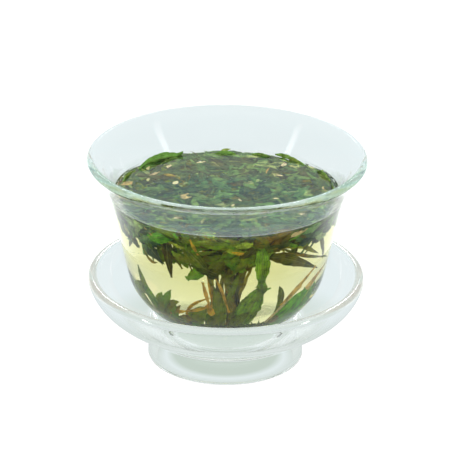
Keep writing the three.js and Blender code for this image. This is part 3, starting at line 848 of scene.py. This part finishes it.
# Tan and orange bits of stalk, in the same form.
OTHER_STALKS = [
    ([(35, 36.9, 59.5), (40, 37.0, 60.1), (46, 36.9, 60.6)],
     1.8, 0.90, 0.0, dict(ends=(0.6, 0.8), taper=0.5)),
    ([(-19, 36.8, 59.8), (-17, 36.6, 56.8), (-15, 36.2, 54.0)], 1.2, 0.66, 0.0, dict(ends=(0.9, 0.8))),
    ([(-47, 36.6, 60.2), (-44, 36.6, 59.0), (-41, 36.5, 57.6)], 0.8, 0.85, 0.0, dict(ends=(0.9, 0.8))),
    ([(3, 36.0, 55.6), (7, 36.0, 55.0), (12, 35.8, 54.8)], 1.3, 0.68, 0.0, dict(ends=(0.6, 0.8))),
    ([(-13, 34.4, 43.0), (-11.5, 33.4, 38.0), (-9, 31.4, 32.0)], 1.4, 0.78, 0.0, dict(ends=(0.9, 0.8))),
    ([(-6, 33.8, 45.0), (-2, 33.2, 39.0), (2, 31.8, 31.0)], 1.1, 0.72, 0.0, dict(ends=(0.9, 0.8))),
    ([(-26, 30.0, 29.5), (-17, 31.4, 31.2), (-8, 31.6, 33.5)], 1.2, 0.66, 0.0, dict(ends=(0.7, 0.8))),
    ([(-12, 31.4, 33.5), (-9.5, 30.8, 31.0), (-6, 29.7, 28.0)], 2.6, 0.70, 0.0, dict(ends=(0.6, 0.8))),
    ([(-40, 28.6, 27.0), (-33, 29.6, 28.4), (-24, 30.4, 29.8)], 1.6, 0.62, 0.0, dict(ends=(0.6, 0.8))),
    ([(27, 26.6, 23.6), (35, 30.4, 29.5), (50, 32.6, 36.5)], 1.3, 0.92, 0.0, dict(ends=(0.5, 0.8))),
    ([(36, 30.8, 31.0), (48, 32.6, 37.0), (62, 33.0, 42.0)], 1.8, 0.80, 0.0, dict(ends=(0.6, 0.6))),
]


def other_leaves():
    rng = np.random.default_rng(3)
    rows = (("other_leaves", OTHER_LEAVES, LEAF, "leaf"), ("other_stalks", OTHER_STALKS, STALK, "stalk"))
    for name, blades, material, slot_name in rows:
        gathered = Foliage()
        for places, width, tone, age, bends in blades:
            points = [polar(*p) for p in places]
            facing = outward(points[1])
            gathered.blade(points, width, facing, tone, rng, age=age, steps=(24, 6), **bends)
        gathered.build(name, material, slot_name)


def stem_cluster():
    """Thin stems that join the sunken leaves to the floating ones at the front."""
    rng = np.random.default_rng(11)
    stems = Foliage()
    for i in range(STEM_COUNT):
        bearing, lean = rng.normal(2, 5), rng.normal(0, 4)
        low, high = rng.uniform(14, 24), rng.uniform(26, 32)
        places = [polar(bearing + lean, low, 23), polar(bearing, (low + high) / 2 + 3, 38),
                  polar(bearing - lean, high, 54)]
        stems.blade(places, rng.uniform(0.7, 1.5), outward(places[1]), rng.uniform(0.05, 0.52), rng,
                    age=0, ends=(0.9, 0.9), thick=0.7, steps=(16, 4), ragged=0.4)
    stems.build("stem_cluster", STALK, "stalk")


def bed():
    """The sunken layer, mostly at the front and left, thin behind."""
    rng = np.random.default_rng(5)
    leaves = Foliage()
    for i in range(BED_LEAF_COUNT):
        bearing = rng.normal(-8, 36)
        radius = rng.uniform(16, 27)
        centre = polar(bearing, radius, 20.4 + rng.uniform(0, 2.4) + max(0, radius - 22) * 0.5)
        flat_leaf(leaves, rng, centre, rng.uniform(6, 12), rng.uniform(1.6, 4),
                  random_tone(rng) * 0.8 + 0.18, rng.uniform(0, 0.8), 0.6)
    leaves.build("bed_leaves", LEAF, "leaf", ["sunken_leaf_bed"])


single_leaves()
raft()
other_leaves()
stem_cluster()
bed()

# ---------- floor, light and camera ----------

FLOOR_REACH = 4000
CAMERA_ELEVATION = 24.25
CAMERA_DISTANCE = 1013.0
CAMERA_LOOK_HEIGHT = 36.0
CAMERA_LENS = 228.94
CAMERA_ROLL = 0.011
CAMERA_AIM = (-0.00055, 0.0120)
MOST_BOUNCES = 96


def world_light():
    world = bpy.data.worlds.new("studio")
    bpy.context.scene.world = world
    world.use_nodes = True
    tree = world.node_tree
    tree.nodes.clear()
    out = tree.nodes.new("ShaderNodeOutputWorld")
    way = node(tree, "ShaderNodeTexCoord").outputs["Generated"]
    split = node(tree, "ShaderNodeSeparateXYZ", None, Vector=way)
    x, y, z = split.outputs
    times = partial(math_node, tree, "MULTIPLY")
    between = partial(map_node, tree, smooth=True)
    mix = partial(mix_node, tree)
    # Three looks: what lights the leaves, what shows in a reflection, and what shows through glass.
    ray = node(tree, "ShaderNodeLightPath")
    back = between(y, -0.6, 0.5)
    overhead = between(z, 0.5, 0.9)
    # Two upright strip lamps, a little in front of the object on its left and right.
    off_strip = math_node(tree, "ADD", y, times(z, -0.6))
    off_strip = math_node(tree, "ABSOLUTE", math_node(tree, "ADD", off_strip, 0.56))
    strip = times(between(off_strip, 0.075, 0.03), between(z, 0.66, 0.58))
    strip = times(strip, between(z, 0.08, 0.16))
    to_side = math_node(tree, "ABSOLUTE", x)
    side_lamps = times(between(to_side, 0.55, 0.85), between(y, 0.5, 0.1))
    shining = mix(back, (0.9, 0.88, 0.84, 1), (0.8, 0.83, 0.83, 1))
    shining = mix(side_lamps, shining, (3.8, 3.7, 3.5, 1))
    shining = mix(overhead, shining, (4.6, 4.5, 4.3, 1))
    mirrored = mix(back, (0.30, 0.32, 0.33, 1), (0.74, 0.98, 1.05, 1))
    mirrored = mix(overhead, mirrored, (1.6, 1.6, 1.6, 1))
    strip_light = mix(between(z, 0.1, 0.6), (5.0, 5.0, 5.0, 1), (20.0, 20.0, 20.0, 1))
    mirrored = mix(strip, mirrored, strip_light)
    # A small lamp high behind the object glints on the ripples.
    lamp = times(between(y, 0.70, 0.76), between(y, 0.90, 0.84))
    lamp = times(lamp, between(to_side, 0.3, 0.2))
    mirrored = mix(times(lamp, between(z, 0.3, 0.4)), mirrored, (12.0, 12.6, 13.2, 1))
    through = mix(back, (1.08, 1.06, 1.02, 1), (0.9, 0.94, 0.94, 1))
    through = mix(overhead, through, (1.0, 1.0, 1.0, 1))
    # The dark room behind the camera draws thin grey lines in the rims.
    room = times(between(y, -0.80, -0.90), between(z, 0.5, 0.4))
    room = times(room, between(z, -0.1, 0.05))
    through = mix(room, through, (0.35, 0.38, 0.37, 1))
    # Its warm walls on the left and right draw faint lines in both rims.
    wall = times(between(to_side, 0.35, 0.45), between(z, 0.75, 0.65))
    wall = times(wall, between(z, 0.30, 0.40))
    through = mix(wall, through, (0.62, 0.57, 0.51, 1))
    lit = mix(ray.outputs["Is Glossy Ray"], shining, mirrored)
    lit = mix(ray.outputs["Is Transmission Ray"], lit, through)
    on_leaf = math_node(tree, "GREATER_THAN", ray.outputs["Diffuse Depth"], 0.5)
    lit = mix(on_leaf, lit, shining)
    colour = mix(ray.outputs["Is Camera Ray"], lit, (1, 1, 1, 1))
    shine = node(tree, "ShaderNodeBackground", None, Color=colour, Strength=1.0)
    tree.links.new(shine.outputs[0], out.inputs["Surface"])


def floor():
    material, tree, shader, out = new_material("studio_floor")
    place = node(tree, "ShaderNodeTexCoord").outputs["Object"]
    speck = noise_node(tree, place, 900.0)
    tint = ramp(tree, speck, [(0.3, (0.93, 0.935, 0.94)), (0.7, (0.95, 0.955, 0.96))])
    tree.links.new(tint, shader.inputs["Base Color"])
    shader.inputs["Roughness"].default_value = 0.9
    shader.inputs["Specular IOR Level"].default_value = 0.1
    # Seen straight on the table is white. Through glass it is a little blue, and shaded under the
    # saucer.
    ray = node(tree, "ShaderNodeLightPath")
    flat = node(tree, "ShaderNodeVectorMath", {"operation": "MULTIPLY"}, i0=place, i1=(1, 1, 0))
    length = node(tree, "ShaderNodeVectorMath", {"operation": "LENGTH"}, i0=flat.outputs[0])
    reach = length.outputs["Value"]
    y = node(tree, "ShaderNodeSeparateXYZ", None, Vector=place).outputs[1]
    times = partial(math_node, tree, "MULTIPLY")
    between = partial(map_node, tree, smooth=True)
    mix = partial(mix_node, tree)
    # Painted shadow under the saucer, with painted bright caustic rings in it.
    shade = ramp(tree, times(reach, 20.0), [
        (0.0, (0.53, 0.62, 0.55)), (0.36, (0.55, 0.64, 0.57)), (0.42, (0.78, 0.86, 0.86)),
        (0.50, (0.60, 0.68, 0.63)), (0.62, (0.74, 0.81, 0.78)), (0.80, (0.66, 0.74, 0.69))])
    through = mix(between(reach, 0.04, 0.065), shade, (0.80, 0.88, 0.89, 1))
    # In a reflection it is bright in a ring in front of the saucer and behind it, and dim elsewhere.
    far = mix(between(y, -0.04, 0.04), (0.2, 0.21, 0.21, 1), (1.5, 1.55, 1.55, 1))
    ring = times(between(reach, 0.042, 0.050), between(y, -0.045, -0.03, 1.0, 0.0))
    near = mix(ring, (0.65, 0.70, 0.70, 1), (1.9, 2.02, 2.08, 1))
    off_front = times(between(y, -0.045, -0.03), 0.012)
    dim = mix(between(math_node(tree, "SUBTRACT", reach, off_front), 0.066, 0.082), near, far)
    # A refracted ray counts as glossy too, so it is taken out of the mirrored ones.
    refracted = ray.outputs["Is Transmission Ray"]
    mirrored = math_node(tree, "SUBTRACT", ray.outputs["Is Glossy Ray"], refracted, True)
    glow = mix(mirrored, through, dim)
    lighting = math_node(tree, "GREATER_THAN", ray.outputs["Diffuse Depth"], 0.5)
    glow = mix(lighting, glow, (0.9, 0.93, 0.93, 1))
    lit = node(tree, "ShaderNodeEmission", None, Color=glow, Strength=1.0).outputs[0]
    white = node(tree, "ShaderNodeEmission", None, Color=(1, 1, 1, 1), Strength=1.03).outputs[0]
    direct = node(tree, "ShaderNodeMixShader", None, i0=0.15, i1=white, i2=shader.outputs[0])
    seen = ray.outputs["Is Camera Ray"]
    both = node(tree, "ShaderNodeMixShader", None, i0=seen, i1=lit, i2=direct.outputs[0])
    tree.links.new(both.outputs[0], out.inputs["Surface"])
    low, size = GROUND - 0.02, FLOOR_REACH
    corners = [(-size, -size, low), (size, -size, low), (size, size, low), (-size, size, low)]
    mesh = bpy.data.meshes.new("studio_floor")
    mesh.from_pydata([tuple(MM * c for c in p) for p in corners], [], [(0, 1, 2, 3)])
    mesh.materials.append(material)
    thing = bpy.data.objects.new("studio_floor", mesh)
    bpy.context.scene.collection.objects.link(thing)


def camera():
    elevation = math.radians(CAMERA_ELEVATION)
    data = bpy.data.cameras.new("camera")
    data.sensor_width = 36
    data.lens = CAMERA_LENS
    data.clip_start, data.clip_end = 0.01, 50
    level = Vector((0, math.cos(elevation), -math.sin(elevation)))
    place = Vector((0, 0, CAMERA_LOOK_HEIGHT)) - level * CAMERA_DISTANCE
    # The aim is off the look height by small angles to the right and up, as in the photograph.
    right, up = Vector((1, 0, 0)), Vector((0, math.sin(elevation), math.cos(elevation)))
    forward = (level + right * CAMERA_AIM[0] + up * CAMERA_AIM[1]).normalized()
    tilted = right * math.cos(CAMERA_ROLL) + up * math.sin(CAMERA_ROLL)
    tilted = (tilted - forward * tilted.dot(forward)).normalized()
    over = tilted.cross(forward)
    thing = bpy.data.objects.new("camera", data)
    turn = thing.matrix_world.to_3x3()
    turn.col[0], turn.col[1], turn.col[2] = tilted, over, -forward
    thing.matrix_world = turn.to_4x4()
    thing.location = place * MM
    bpy.context.scene.collection.objects.link(thing)
    bpy.context.scene.camera = thing


world_light()
floor()
camera()

scene = bpy.context.scene
scene.view_settings.view_transform = "Standard"
scene.cycles.max_bounces = MOST_BOUNCES
scene.cycles.transmission_bounces = MOST_BOUNCES
scene.cycles.glossy_bounces = MOST_BOUNCES
scene.cycles.diffuse_bounces = 5
scene.cycles.transparent_max_bounces = 16
scene.cycles.sample_clamp_indirect = 6.0
scene.cycles.blur_glossy = 0.3
scene.cycles.use_denoising = True
